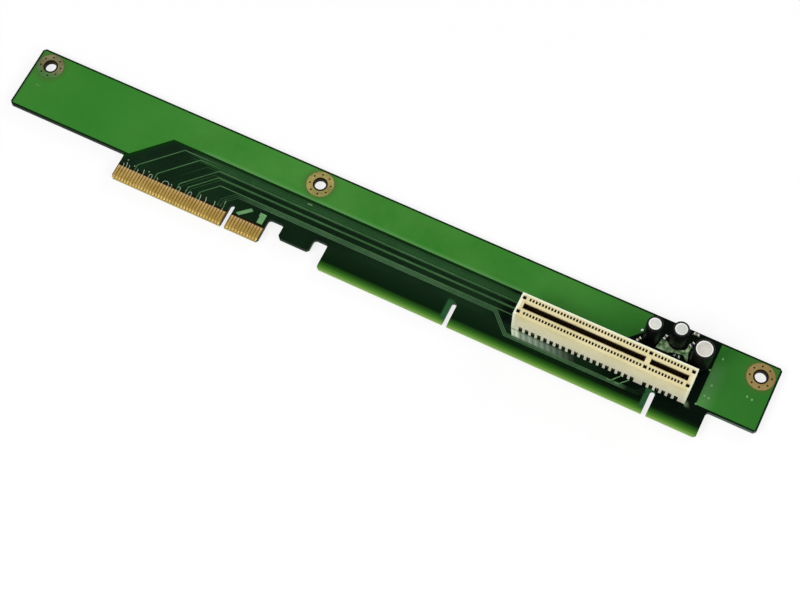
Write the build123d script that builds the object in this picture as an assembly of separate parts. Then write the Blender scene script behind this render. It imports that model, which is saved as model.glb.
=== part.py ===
from build123d import *
import os
from math import radians, sin, cos, tan, hypot

# A long riser board: a gold card edge and a keyed tongue below, a card slot standing on the face.
# Board datum while modelling: x from the left end, y up from the card edges, z up from the back face.

# Panel
board_thickness = 1.57
board_height = 30.9
shoulder_height = 8.9
left_wing = 41.9
first_gap = 5.1
tab_width = 10.6
tab_drop = 4.9
second_gap = 4.64
right_wing = 15.4
gap_relief = 0.3
outer_chamfer = 0.8
inner_radius = 1.0

# Long keyed tongue
tongue_length = 124.46
tongue_key_width = 1.5
tongue_key_depth = 8.0
near_key_from_right = 16.51
far_key_from_right = 81.28
bevel_angle = 20.0
tongue_bevel = 1.5

# Gold card edge and the slot's contacts share one layout
contact_pitch = 1.0
long_group_count = 38
short_group_count = 11
key_span = 3.0
edge_margin = 0.65
edge_key_width = 1.5
edge_key_depth = 8.0
edge_bevel = 0.9
finger_width = 0.7
finger_top = 4.7
copper_thickness = 0.05

# Mounting holes
hole_diameter = 3.6
hole_pad_diameter = 8.7
hole_pad_opening = 4.7
hole_from_top = 5.0
hole_from_end = 5.15
centre_hole_from_left = 101.95
pad_sides = 16

# Copper pour and traces
pour_pullback = 0.6
pour_foot_from_edge = 1.2
pour_lower_edge = 19.9
pour_end_left_of_slot_end = 18.95
pour_corner_cut = 4.7
right_pour_past_slot = 3.05
mask_gap = 0.1
trace_width = 0.3
bus_steps = (5, 12, 20, 23, 27)
bus_drops = (1.8, 2.7, 3.6, 5.75, 7.95)
bus_rise_start = 7.2
bundle_count = 3
bundle_pitch = 0.45
bundle_top = 11.5
bundle_front_drop = 2.4
trace_slot_gap = 0.5

# Two wide copper pieces: distance right of the gold edge's key, height above the card edge
slanted_copper = ((1.8, 6.0), (3.0, 5.5), (6.6, 8.6), (5.6, 9.3))
upright_copper = ((9.1, 5.7), (11.0, 5.7), (11.0, 9.2), (8.8, 9.2), (8.8, 8.0), (9.1, 8.0))

# Slot connector
slot_length = 56.0
slot_width = 7.5
slot_height = 11.2
slot_centre_from_tongue_right = 34.85
slot_front_above_edge = 8.1
slot_key_from_centre = 13.5
card_gap = 1.75
card_end_clearance = 0.6
card_floor = 2.6
key_rib_width = 1.6
lead_in = 0.4
cavity_width = 0.62
cavity_length = 1.0
cavity_from_centre = 2.35
lip_thickness = 1.6
notch_width = 1.2
notch_height = 3.1
large_square = 1.15
large_square_depth = 2.0
large_square_from_end = 1.1
peg_diameter = 2.3
peg_from_end = 1.5
peg_length = 1.4
peg_clearance = 0.1
peg_sides = 8
wall_overlap = 0.01

# Contacts and their solder
contact_width = 0.45
contact_thickness = 0.22
inner_tail_from_card_gap = 0.375
outer_tail = 3.25
tail_bend_height = 1.1
knee_offset = 0.72
tip_below_lip = 0.4
tip_above_knee = 2.0
tail_hole = 0.75
joint_width = 1.4
joint_height = 1.0

# Capacitors: diameter and height; then the distance left of the slot's right end and above its back face
capacitor_sizes = ((5.0, 11.0), (5.0, 11.0), (6.3, 11.0))
capacitor_places = ((17.05, 7.6), (9.45, 9.4), (1.0, 6.55))
sleeve_thickness = 0.2
sleeve_lip = 0.5
sleeve_lip_height = 0.3
capacitor_standoff = 0.25
lead_diameter = 0.5
lead_pitch_ratio = 0.4
lead_hole = 0.8
lead_joint_width = 1.6
round_sides = 16
lead_sides = 6

# Chip parts: distance left of the slot's right end, above its back face, turned
chip_capacitors = ((20.05, 5.4, 60.0), (13.15, 9.4, 75.0), (5.15, 14.3, 0.0))
chip_resistors = ((7.85, 5.4, 0.0), (5.15, 10.8, 60.0))
chip_length = 1.6
chip_width = 0.8
chip_capacitor_height = 0.8
chip_resistor_height = 0.5
terminal_length = 0.35
terminal_thickness = 0.06
pad_overhang = 0.25
copper_island = ((14.6, 5.4), (10.6, 5.4), (9.0, 6.2), (6.0, 6.6), (4.7, 5.2),
                 (4.3, 5.4), (5.1, 8.0), (4.8, 10.4), (5.6, 10.8), (6.2, 8.4),
                 (8.2, 7.4), (10.4, 7.6), (12.0, 8.6), (13.8, 8.9))

# How far a cutting solid stands past what it cuts
cut_over = 1.0

# Values that follow
edge_keys_half = key_span / 2
long_side = edge_keys_half + (long_group_count - 1) * contact_pitch + edge_margin
short_side = edge_keys_half + (short_group_count - 1) * contact_pitch + edge_margin
edge_left = left_wing
edge_key_x = edge_left + long_side
edge_right = edge_key_x + short_side
tab_left = edge_right + first_gap
tab_right = tab_left + tab_width
tongue_left = tab_right + second_gap
tongue_right = tongue_left + tongue_length
board_length = tongue_right + right_wing
gap_top = shoulder_height - gap_relief
board_top = board_thickness
copper_top = board_thickness + copper_thickness
slot_x = tongue_right - slot_centre_from_tongue_right
slot_left = slot_x - slot_length / 2
slot_right = slot_x + slot_length / 2
slot_y = slot_front_above_edge + slot_width / 2
slot_back = slot_y + slot_width / 2
slot_key_x = slot_x + slot_key_from_centre
lip_height = slot_height - lip_thickness
tip_height = lip_height - tip_below_lip
knee_height = tip_height - tip_above_knee
inner_tail = card_gap / 2 + inner_tail_from_card_gap
cavity_wall = cavity_from_centre + cavity_length / 2
hole_y = board_height - hole_from_top
hole_places = {
    "left": hole_from_end,
    "centre": centre_hole_from_left,
    "right": board_length - hole_from_end,
}


def contact_positions(key_x):
    """Centres along x of every contact of one row, left to right."""
    left = [key_x - edge_keys_half - i * contact_pitch for i in range(long_group_count)]
    right = [key_x + edge_keys_half + i * contact_pitch for i in range(short_group_count)]
    return sorted(left) + right


def prism(points, base, height):
    """Polygon drawn on the board's face, raised from base."""
    return Pos(0, 0, base) * extrude(Polygon(*points, align=None), height, dir=(0, 0, 1))


def side_prism(points, start, length):
    """Polygon drawn across the board (y, z), run along x from start."""
    face = Plane.YZ * Polygon(*points, align=None)
    return Pos(start, 0, 0) * extrude(face, length, dir=(1, 0, 0))


def block(x0, x1, y0, y1, z0, z1):
    centre = Pos((x0 + x1) / 2, (y0 + y1) / 2, (z0 + z1) / 2)
    return centre * Box(x1 - x0, y1 - y0, z1 - z0)


def many_sided(radius, sides, x, y, base, height):
    outline = [(x + radius * cos(radians(360 / sides * i)), y + radius * sin(radians(360 / sides * i)))
               for i in range(sides)]
    return prism(outline, base, height)


def unit(a, b):
    length = hypot(b[0] - a[0], b[1] - a[1])
    return (b[0] - a[0]) / length, (b[1] - a[1]) / length


def ribbon(path, width):
    """Outline of a strip of even width along a bent path."""
    left = []
    right = []
    for i, point in enumerate(path):
        before = unit(path[i - 1], point) if i > 0 else unit(point, path[i + 1])
        after = unit(point, path[i + 1]) if i < len(path) - 1 else before
        mid = (before[0] + after[0], before[1] + after[1])
        reach = width / (mid[0] * mid[0] + mid[1] * mid[1])
        left.append((point[0] - mid[1] * reach, point[1] + mid[0] * reach))
        right.append((point[0] + mid[1] * reach, point[1] - mid[0] * reach))
    return left + right[::-1]


def solder_cone(x, y, width):
    """Four-sided solder cone hanging under the back face."""
    half = width / 2
    tip = (0, 0, -joint_height)
    base = [(-half, -half, 0), (half, -half, 0), (half, half, 0), (-half, half, 0)]
    faces = [Face(Wire.make_polygon([base[i], base[(i + 1) % 4], tip])) for i in range(4)]
    faces.append(Face(Wire.make_polygon(base)))
    return Pos(x, y, 0) * Solid(Shell(faces))


def key_cut(x, width, depth):
    slot = block(x - width / 2, x + width / 2, -cut_over, depth - width / 2, -cut_over, board_top + cut_over)
    end = Pos(x, depth - width / 2, board_top / 2) * Cylinder(width / 2, board_top + 2 * cut_over)
    return slot + end


def bevel_cuts(x0, x1, length):
    depth = length * tan(radians(bevel_angle))
    over = cut_over
    top = board_top
    back = side_prism([(-over, -over), (length, -over), (length, 0), (0, depth), (-over, depth)], x0, x1 - x0)
    face = side_prism([(-over, top + over), (-over, top - depth), (0, top - depth), (length, top),
                       (length, top + over)], x0, x1 - x0)
    return [back, face]


def board_blank():
    outline = Polygon(
        (0, shoulder_height), (edge_left, shoulder_height), (edge_left, 0), (edge_right, 0),
        (edge_right, gap_top), (tab_left, gap_top), (tab_left, shoulder_height - tab_drop),
        (tab_right, shoulder_height - tab_drop), (tab_right, gap_top), (tongue_left, gap_top),
        (tongue_left, 0), (tongue_right, 0), (tongue_right, shoulder_height),
        (board_length, shoulder_height), (board_length, board_height), (0, board_height), align=None)
    blank = extrude(outline, board_top, dir=(0, 0, 1))
    uprights = blank.edges().filter_by(Axis.Z)
    inner = [e for e in uprights if is_inner_corner(e.center())]
    outer = [e for e in uprights if not is_inner_corner(e.center())]
    blank = fillet(inner, inner_radius)
    outer = [e for e in blank.edges().filter_by(Axis.Z) if any(
        hypot(e.center().X - o.center().X, e.center().Y - o.center().Y) < 0.01 for o in outer)]
    return chamfer(outer, outer_chamfer)


def is_inner_corner(point):
    step = 0.05
    inside = 0
    for dx, dy in ((step, step), (step, -step), (-step, step), (-step, -step)):
        inside += 1 if in_panel(point.X + dx, point.Y + dy) else 0
    return inside == 3


def in_panel(x, y):
    if y > board_height or x < 0 or x > board_length or y < 0:
        return False
    if y > shoulder_height:
        return True
    if edge_left < x < edge_right or tongue_left < x < tongue_right:
        return True
    if edge_right <= x <= tongue_left and y > gap_top:
        return True
    return tab_left < x < tab_right and y > shoulder_height - tab_drop


def tail_places():
    """Every tail of the slot: x, y and the side of the slot's centre line."""
    places = []
    for i, x in enumerate(contact_positions(slot_key_x)):
        reach = tail_reach(i)
        places += [(x, slot_y - reach, -1), (x, slot_y + reach, 1)]
    return places


def tail_reach(index):
    """Odd contacts, counted from the short end, take the outer row."""
    from_right = long_group_count + short_group_count - 1 - index
    return outer_tail if from_right % 2 == 0 else inner_tail


def capacitor_centres():
    return [(slot_right - dx, slot_back + dy) for dx, dy in capacitor_places]


def lead_places():
    places = []
    for (diameter, height), (x, y) in zip(capacitor_sizes, capacitor_centres()):
        half = diameter * lead_pitch_ratio / 2
        places += [(x - half, y), (x + half, y)]
    return places


def peg_places():
    return [(slot_key_x, slot_y), (slot_left + peg_from_end, slot_y)]


def board_cuts():
    cuts = [key_cut(edge_key_x, edge_key_width, edge_key_depth)]
    cuts += [key_cut(tongue_right - d, tongue_key_width, tongue_key_depth)
             for d in (near_key_from_right, far_key_from_right)]
    cuts += bevel_cuts(edge_left - cut_over, edge_right + cut_over, edge_bevel)
    cuts += bevel_cuts(tongue_left - cut_over, tongue_right + cut_over, tongue_bevel)
    through = board_top + 2 * cut_over
    for x in hole_places.values():
        cuts.append(Pos(x, hole_y, board_top / 2) * Cylinder(hole_diameter / 2, through))
    half = tail_hole / 2
    cuts += [block(x - half, x + half, y - half, y + half, -cut_over, board_top + cut_over)
             for x, y, side in tail_places()]
    for x, y in lead_places():
        cuts.append(many_sided(lead_hole / 2, lead_sides, x, y, -cut_over, through))
    for x, y in peg_places():
        cuts.append(many_sided(peg_diameter / 2 + peg_clearance, peg_sides, x, y, -cut_over, through))
    return cuts


def circuit_board():
    return board_blank() - board_cuts()


# Copper

def pour_outlines():
    low = shoulder_height + pour_pullback
    high = board_height - pour_pullback
    start = pour_pullback
    slant_foot = edge_left + pour_foot_from_edge
    slant_top = slant_foot + (pour_lower_edge - low)
    end = slot_right - pour_end_left_of_slot_end
    left = [(start, low), (slant_foot, low), (slant_top, pour_lower_edge),
            (end - pour_corner_cut, pour_lower_edge), (end, pour_lower_edge + pour_corner_cut),
            (end, high), (start, high)]
    right_start = slot_right + right_pour_past_slot
    right_end = board_length - pour_pullback
    right = [(right_start, low), (right_end, low), (right_end, high), (right_start, high)]
    return [left, right]


def copper_cut(radius, x, base):
    return many_sided(radius, pad_sides, x, hole_y, base - cut_over, copper_thickness + 2 * cut_over)


def ground_pour(base):
    holes = [copper_cut(hole_pad_diameter / 2 + mask_gap, x, base) for x in hole_places.values()]
    return [prism(outline, base, copper_thickness) - holes for outline in pour_outlines()]


def mounting_pad(x, base):
    ring = many_sided(hole_pad_diameter / 2, pad_sides, x, hole_y, base, copper_thickness)
    return ring - copper_cut(hole_pad_opening / 2, x, base)


def edge_fingers(base):
    half = finger_width / 2
    return [block(x - half, x + half, edge_bevel, finger_top, base, base + copper_thickness)
            for x in contact_positions(edge_key_x)]


def bus_traces():
    """Traces that rise from the gold fingers and run along the board to the slot's end."""
    ends = slot_left - trace_slot_gap
    first = contact_positions(edge_key_x)[0]
    traces = []
    for steps, drop in zip(bus_steps, bus_drops):
        x = first + steps * contact_pitch
        y = pour_lower_edge - drop
        rise = y - bus_rise_start
        path = [(x, finger_top), (x, bus_rise_start), (x + rise, y), (ends, y)]
        traces.append(prism(ribbon(path, trace_width), board_top, copper_thickness))
    return traces


def bundle_traces():
    """Lower bundle that turns down at the slot and runs along its front."""
    traces = []
    for i in range(bundle_count):
        high = bundle_top - i * bundle_pitch
        low = slot_front_above_edge - bundle_front_drop - i * bundle_pitch
        foot = slot_left - trace_slot_gap - i * bundle_pitch / 2
        turn = foot - (high - low)
        stop = slot_key_x + i * bundle_pitch
        rise = bundle_front_drop - trace_slot_gap
        path = [(tab_left - first_gap / 2, high), (turn, high), (foot, low), (stop, low),
                (stop + rise, low + rise)]
        traces.append(prism(ribbon(path, trace_width), board_top, copper_thickness))
    return traces


def wide_copper_shapes():
    """Two wide pieces of copper above the short finger group."""
    shapes = []
    for outline in (slanted_copper, upright_copper):
        points = [(edge_key_x + dx, y) for dx, y in outline]
        shapes.append(prism(points, board_top, copper_thickness))
    return shapes


# Slot connector

def slot_side(points, side):
    """Mirror a profile about the slot's centre line and lift it onto the board's face."""
    return [(slot_y + side * y, board_top + z) for y, z in points]


def cavity_cuts():
    """Comb of contact chambers, open to the card slot below the lip and to the board."""
    wall = card_gap / 2
    near = wall - wall_overlap
    inner = cavity_from_centre - cavity_length / 2
    top = slot_height + cut_over
    profile = [(wall, -cut_over), (cavity_wall, -cut_over), (cavity_wall, top), (inner, top),
               (inner, lip_height), (near, lip_height), (near, card_floor), (wall, card_floor)]
    cuts = []
    for x in contact_positions(slot_key_x):
        for side in (-1, 1):
            cuts.append(side_prism(slot_side(profile, side), x - cavity_width / 2, cavity_width))
    return cuts


def card_openings():
    half = card_gap / 2
    wide = half + lead_in
    top = slot_height + cut_over
    profile = [(-half, card_floor), (half, card_floor), (half, slot_height - lead_in), (wide, slot_height),
               (wide, top), (-wide, top), (-wide, slot_height), (-half, slot_height - lead_in)]
    left = slot_key_x - long_side - card_end_clearance
    right = slot_key_x + short_side + card_end_clearance
    rib = key_rib_width / 2
    spans = ((left, slot_key_x - rib), (slot_key_x + rib, right))
    return [side_prism(slot_side(profile, 1), a, b - a) for a, b in spans]


def notch_positions():
    return [x for i, x in enumerate(contact_positions(slot_key_x)) if tail_reach(i) == outer_tail]


def notch_cuts():
    """Row of notches along the foot of both long sides, one at each outer tail."""
    cuts = []
    for x in notch_positions():
        for side in (-1, 1):
            near = slot_y + side * cavity_wall
            far = slot_y + side * slot_width
            cuts.append(block(x - notch_width / 2, x + notch_width / 2, min(near, far), max(near, far),
                              board_top - cut_over, board_top + notch_height))
    return cuts


def large_squares():
    half = large_square / 2
    cuts = []
    for x in (slot_left + large_square_from_end, slot_key_x, slot_right - large_square_from_end):
        for side in (-1, 1):
            y = slot_y + side * cavity_from_centre
            cuts.append(block(x - half, x + half, y - half, y + half,
                              board_top + slot_height - large_square_depth,
                              board_top + slot_height + cut_over))
    return cuts


def slot_pegs():
    pegs = []
    for x, y in peg_places():
        pegs.append(many_sided(peg_diameter / 2, peg_sides, x, y, board_top - peg_length, 2 * peg_length))
    return pegs


def slot_housing():
    body = block(slot_left, slot_right, slot_y - slot_width / 2, slot_y + slot_width / 2,
                 board_top, board_top + slot_height)
    body = body - (card_openings() + cavity_cuts() + notch_cuts() + large_squares())
    return body + slot_pegs()


def contact(x, index, side):
    reach = tail_reach(index)
    path = [(reach, -board_thickness), (knee_offset, knee_height), (cavity_from_centre, tip_height)]
    if reach == outer_tail:
        path.insert(1, (reach, tail_bend_height))
    outline = ribbon(path, contact_thickness)
    for end in (0, -1):
        outline[end] = (outline[end][0], -board_thickness)
    return side_prism(slot_side(outline, side), x - contact_width / 2, contact_width)


def slot_contacts(side):
    return [contact(x, i, side) for i, x in enumerate(contact_positions(slot_key_x))]


def slot_solder_joints():
    return [solder_cone(x, y, joint_width) for x, y, side in tail_places()]


# Capacitors

def capacitor_base():
    return board_top + capacitor_standoff


def capacitor_can(number):
    diameter, height = capacitor_sizes[number]
    x, y = capacitor_centres()[number]
    radius = diameter / 2 - sleeve_thickness
    return many_sided(radius, round_sides, x, y, capacitor_base(), height - sleeve_lip_height)


def capacitor_sleeve(number):
    """Shrink sleeve with its top turned in over the can's rim."""
    diameter, height = capacitor_sizes[number]
    x, y = capacitor_centres()[number]
    outer = many_sided(diameter / 2, round_sides, x, y, capacitor_base(), height)
    bore = many_sided(diameter / 2 - sleeve_thickness, round_sides, x, y, capacitor_base() - cut_over,
                      height - sleeve_lip_height + cut_over)
    mouth = many_sided(diameter / 2 - sleeve_lip, round_sides, x, y, capacitor_base(), height + cut_over)
    return outer - [bore, mouth]


def capacitor_leads(number):
    places = lead_places()[2 * number:2 * number + 2]
    return [many_sided(lead_diameter / 2, lead_sides, x, y, 0, capacitor_base()) for x, y in places]


def capacitor_solder_joints():
    return [solder_cone(x, y, lead_joint_width) for x, y in lead_places()]


# Chip parts

def chip_places(chips):
    return [Pos(slot_right - dx, slot_back + dy, 0) * Rot(0, 0, turn) for dx, dy, turn in chips]


def chip_bodies(chips, height):
    half = chip_length / 2 - terminal_length
    base = copper_top + terminal_thickness
    body = block(-half, half, -chip_width / 2, chip_width / 2, base, base + height - 2 * terminal_thickness)
    return [place * body for place in chip_places(chips)]


def chip_terminals(chips, height):
    ends = []
    for place in chip_places(chips):
        for side in (-1, 1):
            near = side * (chip_length / 2 - terminal_length)
            far = side * chip_length / 2
            ends.append(place * block(min(near, far), max(near, far), -chip_width / 2, chip_width / 2,
                                      copper_top, copper_top + height))
    return ends


def chip_pads():
    """Copper pad under each end cap of every chip part."""
    pads = []
    reach = chip_length / 2 + pad_overhang
    for place in chip_places(chip_capacitors + chip_resistors):
        for side in (-1, 1):
            near = side * (chip_length / 2 - terminal_length)
            far = side * reach
            pads.append(place * block(min(near, far), max(near, far), -chip_width / 2, chip_width / 2,
                                      board_top, copper_top))
    return pads


def capacitor_copper():
    """Copper island between the capacitors and the slot, joined to the chip pads that it meets."""
    outline = [(slot_right - dx, slot_back + dy) for dx, dy in copper_island]
    return prism(outline, board_top, copper_thickness) + chip_pads()


# Output

def in_frame(shape):
    """Board datum to the shared frame: origin at the middle of the footprint, lowest point at zero."""
    return Pos(-board_length / 2, -board_height / 2, joint_height) * shape


def save(name, shapes):
    solids = shapes if isinstance(shapes, list) else [shapes]
    parts = [solid for shape in solids for solid in in_frame(shape).solids()]
    whole = parts[0] if len(parts) == 1 else Compound(children=parts)
    export_step(whole, os.path.join("parts", name + ".step"))
    print(name, len(parts))


os.makedirs("parts", exist_ok=True)
save("circuit_board", circuit_board())
save("front_ground_pour", ground_pour(board_top))
save("back_ground_pour", ground_pour(-copper_thickness))
save("bus_traces", bus_traces())
save("bundle_traces", bundle_traces())
save("wide_copper_shapes", wide_copper_shapes())
save("edge_fingers_front", edge_fingers(board_top))
save("edge_fingers_back", edge_fingers(-copper_thickness))
for hole, hole_x in hole_places.items():
    save("mounting_pad_" + hole, mounting_pad(hole_x, board_top))
save("mounting_pads_back", [mounting_pad(x, -copper_thickness) for x in hole_places.values()])
save("slot_housing", slot_housing())
save("slot_contacts_front_row", slot_contacts(-1))
save("slot_contacts_back_row", slot_contacts(1))
save("slot_solder_joints", slot_solder_joints())
for number in range(len(capacitor_sizes)):
    label = "capacitor_%d_" % (number + 1)
    save(label + "can", capacitor_can(number))
    save(label + "sleeve", capacitor_sleeve(number))
    save(label + "leads", capacitor_leads(number))
save("capacitor_solder_joints", capacitor_solder_joints())
save("capacitor_copper", capacitor_copper())
save("chip_capacitor_bodies", chip_bodies(chip_capacitors, chip_capacitor_height))
save("chip_resistor_bodies", chip_bodies(chip_resistors, chip_resistor_height))
save("chip_terminals", chip_terminals(chip_capacitors, chip_capacitor_height)
     + chip_terminals(chip_resistors, chip_resistor_height))
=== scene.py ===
import bpy, bmesh, math
from mathutils import Matrix, Vector


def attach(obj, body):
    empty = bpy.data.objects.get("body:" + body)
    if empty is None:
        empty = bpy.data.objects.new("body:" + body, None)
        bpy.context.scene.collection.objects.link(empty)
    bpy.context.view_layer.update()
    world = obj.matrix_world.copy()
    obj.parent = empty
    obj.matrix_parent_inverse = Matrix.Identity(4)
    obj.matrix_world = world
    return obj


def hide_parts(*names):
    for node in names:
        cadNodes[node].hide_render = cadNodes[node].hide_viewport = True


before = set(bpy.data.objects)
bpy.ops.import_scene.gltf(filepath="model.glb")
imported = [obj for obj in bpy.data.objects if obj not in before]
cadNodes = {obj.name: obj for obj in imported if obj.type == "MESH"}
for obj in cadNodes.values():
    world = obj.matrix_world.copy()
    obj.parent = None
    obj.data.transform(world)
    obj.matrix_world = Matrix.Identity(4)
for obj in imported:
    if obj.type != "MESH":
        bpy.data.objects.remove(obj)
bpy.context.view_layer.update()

mm = 0.001

# Board sizes in mm, from the board's left end, its lower line and its back face
board = {
    "left": 126.7, "low": 15.45, "back": 1.0,      # where that datum lies from the shared origin
    "thickness": 1.57, "copper": 0.05,
    "edgeLeft": 41.9, "edgeRight": 93.2, "edgeKey": 81.05,
    "tongueLeft": 113.54, "tongueRight": 238.0, "slotLeft": 175.15, "slotRight": 231.15,
    "slotX": 203.15, "slotY": 11.85, "slotFront": 8.1, "slotBack": 15.6, "slotKey": 216.65,
    "slotHeight": 11.2, "holes": (5.15, 101.95, 248.25), "holeY": 25.9,
}
face = board["thickness"]


def at(x, y, z=0.0):
    return Vector(((x - board["left"]) * mm, (y - board["low"]) * mm, (z + board["back"]) * mm))


def contactPlaces(keyX):
    left = [keyX - 1.5 - i for i in range(37, -1, -1)]
    return left + [keyX + 1.5 + i for i in range(11)]


class Shader:
    def __init__(self, name, **values):
        self.material = bpy.data.materials.new(name)
        self.material.use_nodes = True
        self.tree = self.material.node_tree
        self.tree.nodes.clear()
        out = self.tree.nodes.new("ShaderNodeOutputMaterial")
        self.bsdf = self.tree.nodes.new("ShaderNodeBsdfPrincipled")
        self.tree.links.new(self.bsdf.outputs[0], out.inputs[0])
        for key, value in values.items():
            self.bsdf.inputs[key.replace("_", " ")].default_value = value
        self.coords = self.node("ShaderNodeTexCoord").outputs["Object"]

    def node(self, kind, settings=None, **inputs):
        return addNode(self.tree, kind, settings, **inputs)

    def group(self, tree, **inputs):
        return addNode(self.tree, "ShaderNodeGroup", {"node_tree": tree}, **inputs)

    def feed(self, name, socket):
        self.tree.links.new(socket, self.bsdf.inputs[name])


def addNode(tree, kind, settings=None, **inputs):
    made = tree.nodes.new(kind)
    for key, value in (settings or {}).items():
        setattr(made, key, value)
    for key, value in inputs.items():
        name = key.replace("_", " ")
        socket = made.inputs[int(name[1:])] if name[0] == "i" and name[1:].isdigit() else made.inputs[name]
        if isinstance(value, bpy.types.NodeSocket):
            tree.links.new(value, socket)
        else:
            socket.default_value = value
    return made


def colour(r, g, b):  # 0 to 255 as seen on a screen, to linear light
    shares = [c / 255 for c in (r, g, b)]
    return tuple(((c + 0.055) / 1.055) ** 2.4 if c > 0.04 else c / 12.92 for c in shares) + (1.0,)


def mixed(shader, factor, a, b, share=None):
    if share is not None:
        factor = maths(shader.tree, "MULTIPLY", factor, share)
    return shader.node("ShaderNodeMix", {"data_type": "RGBA"}, i0=factor, i6=a, i7=b).outputs[2]


def ramp(shader, factor, stops):
    made = shader.node("ShaderNodeValToRGB", Fac=factor)
    elements = made.color_ramp.elements
    for place, tone in stops[1:-1]:
        elements.new(place)
    for element, (place, tone) in zip(elements, stops):
        element.position, element.color = place, tone
    return made.outputs[0]


def maths(tree, operation, a, b=None, c=None, clamp=False):
    inputs = {"i%d" % i: value for i, value in enumerate((a, b, c)) if value is not None}
    return addNode(tree, "ShaderNodeMath", {"operation": operation, "use_clamp": clamp}, **inputs).outputs[0]


def boardAxes(shader):
    axis = shader.node("ShaderNodeSeparateXYZ", Vector=shader.coords).outputs
    return [maths(shader.tree, "MULTIPLY_ADD", axis[i], 1000.0, shift)
            for i, shift in enumerate((board["left"], board["low"], -board["back"]))]


def newGroup(name, inputs, outputs):
    tree = bpy.data.node_groups.new(name, "ShaderNodeTree")
    for label, kind, value in inputs:
        socket = tree.interface.new_socket(label, in_out="INPUT", socket_type="NodeSocket" + kind)
        if value is not None:
            socket.default_value = value
    for label, kind in outputs:
        tree.interface.new_socket(label, in_out="OUTPUT", socket_type="NodeSocket" + kind)
    return tree, tree.nodes.new("NodeGroupInput").outputs, tree.nodes.new("NodeGroupOutput").inputs


# Cloudy variation in two sizes, for blotches in a coat and specks in a surface
blotches, bIn, bOut = newGroup("blotches", [
    ("Place", "Vector", None), ("Large", "Float", 60.0), ("Fine", "Float", 900.0),
    ("Fine share", "Float", 0.3)], [("Mask", "Float")])
largeNoise = addNode(blotches, "ShaderNodeTexNoise", Vector=bIn["Place"], Scale=bIn["Large"], Detail=3.0)
fineNoise = addNode(blotches, "ShaderNodeTexNoise", Vector=bIn["Place"], Scale=bIn["Fine"], Detail=2.0)
blended = addNode(blotches, "ShaderNodeMix", {"data_type": "FLOAT"}, i0=bIn["Fine share"],
                  i2=largeNoise.outputs[0], i3=fineNoise.outputs[0])
spread = addNode(blotches, "ShaderNodeMapRange", Value=blended.outputs[0], From_Min=0.36, From_Max=0.64)
blotches.links.new(spread.outputs[0], bOut["Mask"])

# Soft band: 1 between two values, fading over a width at each end
band, nIn, nOut = newGroup("band", [
    ("Value", "Float", 0.0), ("From", "Float", 0.0), ("To", "Float", 1.0), ("Fade", "Float", 0.001)],
    [("Mask", "Float")])
lowSide = maths(band, "DIVIDE", maths(band, "SUBTRACT", nIn["Value"], nIn["From"]), nIn["Fade"], clamp=True)
highSide = maths(band, "DIVIDE", maths(band, "SUBTRACT", nIn["To"], nIn["Value"]), nIn["Fade"], clamp=True)
band.links.new(maths(band, "MULTIPLY", lowSide, highSide), nOut["Mask"])

# Worn edges: where a rounded normal leaves the flat one
edgeWear, eIn, eOut = newGroup("edgeWear", [
    ("Place", "Vector", None), ("Radius", "Float", 0.0002), ("Breakup", "Float", 400.0)],
    [("Mask", "Float"), ("Rounded", "Vector")])
rounded = addNode(edgeWear, "ShaderNodeBevel", {"samples": 6}, Radius=eIn["Radius"])
flatNormal = addNode(edgeWear, "ShaderNodeNewGeometry").outputs["Normal"]
agree = addNode(edgeWear, "ShaderNodeVectorMath", {"operation": "DOT_PRODUCT"},
                i0=rounded.outputs[0], i1=flatNormal)
away = addNode(edgeWear, "ShaderNodeMapRange", Value=agree.outputs["Value"], From_Min=0.995, From_Max=0.9)
broken = addNode(edgeWear, "ShaderNodeTexNoise", Vector=eIn["Place"], Scale=eIn["Breakup"], Detail=3.0)
patchy = addNode(edgeWear, "ShaderNodeMapRange", Value=broken.outputs[0], From_Min=0.35, From_Max=0.6)
edgeWear.links.new(maths(edgeWear, "MULTIPLY", away.outputs[0], patchy.outputs[0]), eOut["Mask"])
edgeWear.links.new(rounded.outputs[0], eOut["Rounded"])

# Fine unevenness of a surface, as a height
grain, gIn, gOut = newGroup("grain", [
    ("Place", "Vector", None), ("Coarse", "Float", 300.0), ("Fine", "Float", 3000.0)], [("Height", "Float")])
coarse = addNode(grain, "ShaderNodeTexNoise", Vector=gIn["Place"], Scale=gIn["Coarse"], Detail=2.0)
speck = addNode(grain, "ShaderNodeTexNoise", Vector=gIn["Place"], Scale=gIn["Fine"], Detail=1.0)
grain.links.new(maths(grain, "MULTIPLY_ADD", speck.outputs[0], 0.4, coarse.outputs[0]), gOut["Height"])


def roughened(shader, low, high, large=90.0, fine=1500.0):
    mask = shader.group(blotches, Place=shader.coords, Large=large, Fine=fine, Fine_share=0.4).outputs[0]
    made = shader.node("ShaderNodeMapRange", Value=mask, To_Min=low, To_Max=high)
    shader.feed("Roughness", made.outputs[0])
    return mask


def bumped(shader, strength, distance, coarseScale, fineScale, normal=None):
    height = shader.group(grain, Place=shader.coords, Coarse=coarseScale, Fine=fineScale).outputs[0]
    made = shader.node("ShaderNodeBump", Strength=strength, Distance=distance, Height=height)
    if normal is not None:
        shader.tree.links.new(normal, made.inputs["Normal"])
    shader.feed("Normal", made.outputs[0])


def inBand(shader, value, start, end, fade):
    return shader.group(band, Value=value, From=start, To=end, Fade=fade).outputs[0]


def nearHoles(shader, reach, fade):  # 1 round the mounting holes, in mm
    result = 0.0
    for hole in board["holes"]:
        away = shader.node("ShaderNodeVectorMath", {"operation": "DISTANCE"}, i0=shader.coords,
                           i1=at(hole, board["holeY"], face / 2)).outputs["Value"]
        ring = inBand(shader, away, -1.0, reach * mm, fade * mm)
        result = maths(shader.tree, "MAXIMUM", result, ring)
    return result


def both(shader, *masks):
    result = masks[0]
    for other in masks[1:]:
        result = maths(shader.tree, "MULTIPLY", result, other)
    return result


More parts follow.
